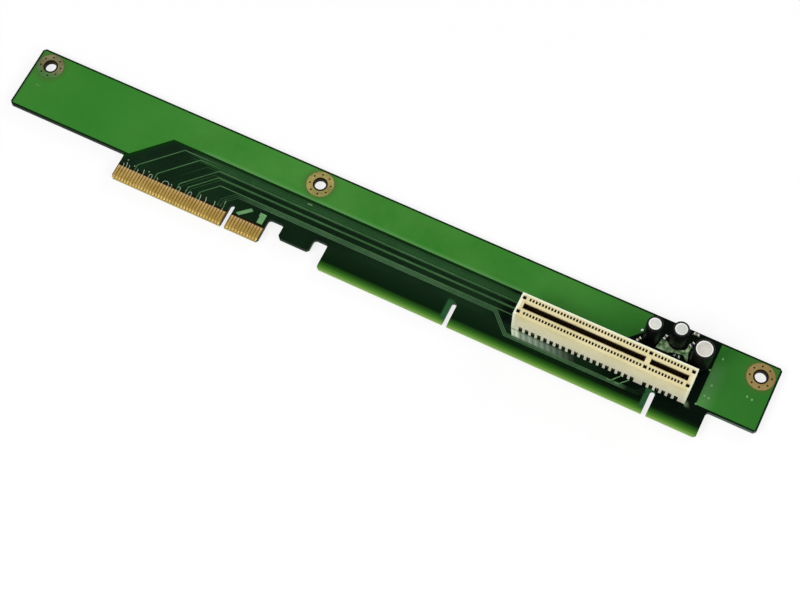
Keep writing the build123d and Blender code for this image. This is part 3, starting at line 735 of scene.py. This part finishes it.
for index, high in sorted(heights.items()):
    x = fingers[index]
    paths.append([at(x, stub["start"], z), at(x, stub["short"] - 0.3, z), at(x - stub["lean"], high, z)])
grow("fingerStubs", lines(paths), trees["ribbon"], "stub", "trace",
     Width=stub["width"] * mm, Height=stub["height"] * mm)
grow("fingerDots", points([at(x, y, face) for x, y in stub["dots"]]), trees["ring"], "stub", "trace",
     Outer=stub["dotRadius"] * mm, Inner=stub["dotRadius"] * mm * 0.3, Height=stub["height"] * mm, Sides=10)

print("gold on the bevels")
nose = {"width": 0.7, "height": 0.03, "length": 0.88, "bevel": 0.9, "angle": 20.0}
slope = math.radians(nose["angle"])
lift = nose["height"] / 2
paths = []
for x in fingers:
    for top, side in ((face, 1), (0.0, -1)):
        start = (nose["bevel"] - lift * math.sin(slope), top + side * lift * math.cos(slope))
        end = (start[0] - nose["length"] * math.cos(slope),
               start[1] - side * nose["length"] * math.sin(slope))
        paths.append([at(x, *start), at(x, *end)])
grow("fingerNoses", lines(paths), trees["ribbon"], "gold", "gold",
     Width=nose["width"] * mm, Height=nose["height"] * mm)

print("solder joints")
joint = {"foot": 0.7, "pin": 0.2, "drop": 1.0, "leadFoot": 0.8, "leadPin": 0.26}
tails = []
for index, x in enumerate(contactPlaces(board["slotKey"])):
    reach = 3.25 if (48 - index) % 2 == 0 else 1.25
    tails += [at(x, board["slotY"] - reach), at(x, board["slotY"] + reach)]
capacitors = (  # x, y, diameter
    (board["slotX"] + 10.95, board["slotBack"] + 7.6, 5.0),
    (board["slotX"] + 18.55, board["slotBack"] + 9.4, 5.0),
    (board["slotX"] + 27.0, board["slotBack"] + 6.55, 6.3))
leads = []
for x, y, diameter in capacitors:
    leads += [at(x - diameter * 0.2, y), at(x + diameter * 0.2, y)]
piece = grow("slotSolder", points(tails), trees["joint"], "solder", "solder",
             Foot=joint["foot"] * mm, Pin=joint["pin"] * mm, Drop=joint["drop"] * mm, Sides=10)
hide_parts("slot_solder_joints")
piece = grow("capacitorSolder", points(leads), trees["joint"], "solder", "solder",
             Foot=joint["leadFoot"] * mm, Pin=joint["leadPin"] * mm, Drop=joint["drop"] * mm, Sides=14)
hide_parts("capacitor_solder_joints")

print("capacitors")
can = {"height": 11.0, "standoff": 0.25, "sleeve": 0.2, "lip": 0.6, "rimShare": 0.7, "sides": 56,
       "crimpAt": 1.7, "crimpDepth": 0.22}


def lathe(work, x, y, profile, sides):
    rings = []
    turns = [2 * math.pi * i / sides for i in range(sides)]
    for r, z in profile:
        spots = [at(x + r * math.cos(t), y + r * math.sin(t), z) for t in turns] if r else [at(x, y, z)]
        rings.append([work.verts.new(spot) for spot in spots])
    for a, b in zip(rings, rings[1:]):
        for i in range(sides):
            j = (i + 1) % sides
            if len(a) == 1:
                work.faces.new((a[0], b[j], b[i]))
            elif len(b) == 1:
                work.faces.new((a[i], a[j], b[0]))
            else:
                work.faces.new((a[i], a[j], b[j], b[i]))
    return rings


def canProfile(radius, base, top):
    inner = radius - can["sleeve"]
    return [(0, base + 0.1), (inner * 0.7, base + 0.1), (inner - 0.15, base), (inner - 0.02, base + 0.15),
            (inner - 0.02, top - 0.35), (inner - 0.12, top - 0.12), (inner - 0.35, top - 0.03),
            (inner - 0.55, top - 0.07), (inner - 0.75, top - 0.1), (inner * 0.4, top - 0.09),
            (0, top - 0.085)]


def sleeveProfile(radius, base, top):
    crimp = base + can["crimpAt"]
    deep = can["crimpDepth"]
    inner = radius - can["sleeve"]
    outside = [(radius - 0.12, base), (radius, base + 0.12), (radius, crimp - 0.45),
               (radius - deep * 0.4, crimp - 0.25), (radius - deep, crimp),
               (radius - deep * 0.4, crimp + 0.25), (radius, crimp + 0.45),
               (radius, top - 0.3), (radius - 0.05, top - 0.12), (radius - 0.14, top - 0.02),
               (radius - can["lip"] + 0.04, top), (radius - can["lip"], top - 0.04)]
    inside = [(radius - can["lip"], top - 0.12), (inner - 0.01, top - 0.3), (inner - 0.01, crimp + 0.6),
              (inner - 0.01, base + 0.3), (inner - 0.12, base)]
    return outside + inside


for number, (x, y, diameter) in enumerate(capacitors, 1):
    base = face + can["standoff"]
    top = base + can["height"]
    radius = diameter / 2

    def buildCan(work):
        lathe(work, x, y, canProfile(radius, base, top - 0.06), can["sides"])

    def buildSleeve(work):
        rings = lathe(work, x, y, sleeveProfile(radius, base, top), can["sides"])
        first, last = rings[0], rings[-1]
        for i in range(len(first)):
            j = (i + 1) % len(first)
            work.faces.new((last[i], last[j], first[j], first[i]))

    piece = finishMesh("capacitorCan%d" % number, buildCan, "canWarm" if number == 3 else "can")
    piece.data.materials.append(looks["canRim"])
    centre = at(x, y)
    for polygon in piece.data.polygons:
        reach = math.hypot(polygon.center.x - centre.x, polygon.center.y - centre.y)
        if reach > can["rimShare"] * (radius - can["lip"]) * mm:
            polygon.material_index = 1
    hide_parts("capacitor_%d_can" % number)
    piece = finishMesh("capacitorSleeve%d" % number, buildSleeve, "sleeve")
    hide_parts("capacitor_%d_sleeve" % number)

print("chip parts")
chip = {"length": 1.6, "width": 0.8, "end": 0.35, "over": 0.06, "overhang": 0.25, "fillet": 0.7,
        "capacitorHeight": 0.8, "resistorHeight": 0.5, "waist": 0.03, "soften": 0.05,
        # left of the slot's end, behind the slot, turn
        "capacitors": ((20.05, 5.4, 60.0), (13.15, 9.4, 75.0), (5.15, 14.3, 0.0)),
        "resistors": ((7.85, 5.4, 0.0), (5.15, 10.8, 60.0))}


def addSolid(work, spot, turn, outline, halfWidth):  # outline in the chip's length and height
    c, s = math.cos(math.radians(turn)), math.sin(math.radians(turn))
    sides = []
    for across in (-halfWidth, halfWidth):
        sides.append([work.verts.new(at(spot[0] + c * u - s * across, spot[1] + s * u + c * across, w))
                      for u, w in outline])
    work.faces.new(sides[0])
    work.faces.new(sides[1][::-1])
    for i in range(len(outline)):
        j = (i + 1) % len(outline)
        work.faces.new((sides[0][i], sides[0][j], sides[1][j], sides[1][i]))


def chipSpots(places):
    return [((board["slotRight"] - dx, board["slotBack"] + dy), turn) for dx, dy, turn in places]


def chipBodies(places, height):
    inner = chip["length"] / 2 - chip["end"]
    low, high = face + board["copper"] + chip["over"], face + board["copper"] + height - chip["over"]

    def build(work):
        for spot, turn in chipSpots(places):
            addSolid(work, spot, turn, [(-inner, low), (inner, low), (inner, high), (-inner, high)],
                     chip["width"] / 2 - chip["waist"])
    return build


def chipEnds(work):
    inner, outer = chip["length"] / 2 - chip["end"], chip["length"] / 2
    low = face + board["copper"]
    for kind in ("capacitor", "resistor"):
        height = chip[kind + "Height"]
        for spot, turn in chipSpots(chip[kind + "s"]):
            for side in (-1, 1):
                outline = [(side * inner, low), (side * (outer + chip["overhang"] * 0.9), low),
                           (side * (outer + chip["overhang"] * 0.35), low + height * chip["fillet"] * 0.4),
                           (side * outer, low + height * chip["fillet"]), (side * outer, low + height),
                           (side * inner, low + height)]
                addSolid(work, spot, turn, outline, chip["width"] / 2)


piece = finishMesh("chipCapacitorBodies", chipBodies(chip["capacitors"], chip["capacitorHeight"]),
                   "chipTan", bevel=chip["soften"] * mm, smooth=False)
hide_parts("chip_capacitor_bodies")
piece = finishMesh("chipResistorBodies", chipBodies(chip["resistors"], chip["resistorHeight"]),
                   "chipBlack", bevel=chip["soften"] * mm, smooth=False)
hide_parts("chip_resistor_bodies")
piece = finishMesh("chipEnds", chipEnds, "terminal", bevel=chip["soften"] * mm, smooth=False)
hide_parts("chip_terminals")

print("small marks")
dot = {"outer": 0.34, "inner": 0.12, "height": 0.012,
       "places": ((236.1, 26.2), (233.9, 21.3), (236.2, 17.0), (236.9, 12.9), (235.5, 13.1), (246.9, 18.3),
                  (248.5, 18.0), (234.2, 9.7))}
grow("rightDots", points([at(x, y, face + board["copper"]) for x, y in dot["places"]]),
     trees["ring"], "paleDot", "trace",
     Outer=dot["outer"] * mm, Inner=dot["inner"] * mm, Height=dot["height"] * mm, Sides=12)
tick = {"length": 1.6, "width": 0.45, "height": 0.012, "rise": 0.1, "places": ((4.9, 18.3), (102.3, 18.3))}
z = face + board["copper"] + tick["height"] / 2
grow("paleTicks", lines([[at(x - tick["length"] / 2, y, z), at(x + tick["length"] / 2, y + tick["rise"], z)]
                         for x, y in tick["places"]]), trees["ribbon"], "paleDot", "trace",
     Width=tick["width"] * mm, Height=tick["height"] * mm)
blob = {"radius": 0.5, "rise": 0.28, "sides": 20, "places": ((210.9, 24.3),)}


def buildBlobs(work):
    low = face + board["copper"]
    for x, y in blob["places"]:
        profile = [(0, low), (blob["radius"], low), (blob["radius"] * 0.94, low + blob["rise"] * 0.35),
                   (blob["radius"] * 0.7, low + blob["rise"] * 0.75), (0, low + blob["rise"])]
        lathe(work, x, y, profile, blob["sides"])


finishMesh("solderBlob", buildBlobs, "solder")

print("studio")
studio = {"worldLevel": 0.36, "floor": 3.0, "paper": 0.86, "glow": 1.05, "glowShare": 0.75,
          "key": 0.38, "fill": 0.2, "back": 0.1}


def softBox(name, place, aim, size, share):
    light = bpy.data.lights.new(name, "AREA")
    light.shape = "RECTANGLE"
    light.size, light.size_y = size
    lamp = newObject(name, light)
    lamp.location = place
    toward = Vector(aim) - Vector(place)
    lamp.rotation_euler = toward.to_track_quat("-Z", "Y").to_euler()
    slope = abs(toward.normalized().z)
    light.energy = share * math.pi ** 2 * toward.length_squared / slope


softBox("key", (-0.55, -0.75, 1.0), (0, 0, 0), (0.7, 0.5), studio["key"])
softBox("fill", (0.95, -0.35, 0.7), (0, 0, 0), (0.7, 0.5), studio["fill"])
softBox("back", (0.5, 0.95, 0.5), (0, 0, 0), (0.8, 0.4), studio["back"])


def plainRays(tree):  # what looks straight at the backdrop, or at its mirror image in metal
    ray = addNode(tree, "ShaderNodeLightPath").outputs
    mirrored = maths(tree, "MAXIMUM", ray["Is Glossy Ray"], ray["Is Transmission Ray"])
    return maths(tree, "MAXIMUM", ray["Is Camera Ray"], mirrored)


world = bpy.data.worlds.new("studioWorld")
bpy.context.scene.world = world
world.use_nodes = True
wt = world.node_tree
wt.nodes.clear()
soft = addNode(wt, "ShaderNodeBackground", Color=(1, 1, 1, 1), Strength=studio["worldLevel"])
seen = addNode(wt, "ShaderNodeBackground", Color=(1, 1, 1, 1), Strength=1.0)
blend = addNode(wt, "ShaderNodeMixShader", i0=plainRays(wt), i1=soft.outputs[0], i2=seen.outputs[0])
wt.links.new(blend.outputs[0], addNode(wt, "ShaderNodeOutputWorld").inputs[0])

floorMesh = bpy.data.meshes.new("floor")
half = studio["floor"] / 2
corners = [(-half, -half, 0), (half, -half, 0), (half, half, 0), (-half, half, 0)]
floorMesh.from_pydata(corners, [], [(0, 1, 2, 3)])
paper = bpy.data.materials.new("palePaper")
paper.use_nodes = True
pt = paper.node_tree
pt.nodes.clear()
matte = addNode(pt, "ShaderNodeBsdfDiffuse", Color=(studio["paper"], studio["paper"], studio["paper"], 1))
glow = addNode(pt, "ShaderNodeEmission", Color=(1, 1, 1, 1), Strength=studio["glow"])
share = maths(pt, "MULTIPLY", plainRays(pt), studio["glowShare"])
blend = addNode(pt, "ShaderNodeMixShader", i0=share, i1=matte.outputs[0], i2=glow.outputs[0])
pt.links.new(blend.outputs[0], addNode(pt, "ShaderNodeOutputMaterial").inputs[0])
floorMesh.materials.append(paper)
floor = newObject("floor", floorMesh)

lens = {"mm": 80.96, "place": (0.11145, -0.20133, 0.50265),
        "right": (0.8987, 0.4385, -0.0096), "up": (-0.4007, 0.8297, 0.3887)}
camera = newObject("camera", bpy.data.cameras.new("camera"))
right = Vector(lens["right"]).normalized()
up = Vector(lens["up"])
up = (up - right * up.dot(right)).normalized()
back = right.cross(up)
camera.matrix_world = Matrix.Translation(lens["place"]) @ Matrix((right, up, back)).transposed().to_4x4()
camera.data.lens = lens["mm"]
camera.data.sensor_width = 36.0
camera.data.clip_start = 0.01
bpy.context.scene.camera = camera
bpy.context.scene.view_settings.view_transform = "Standard"

print("done")
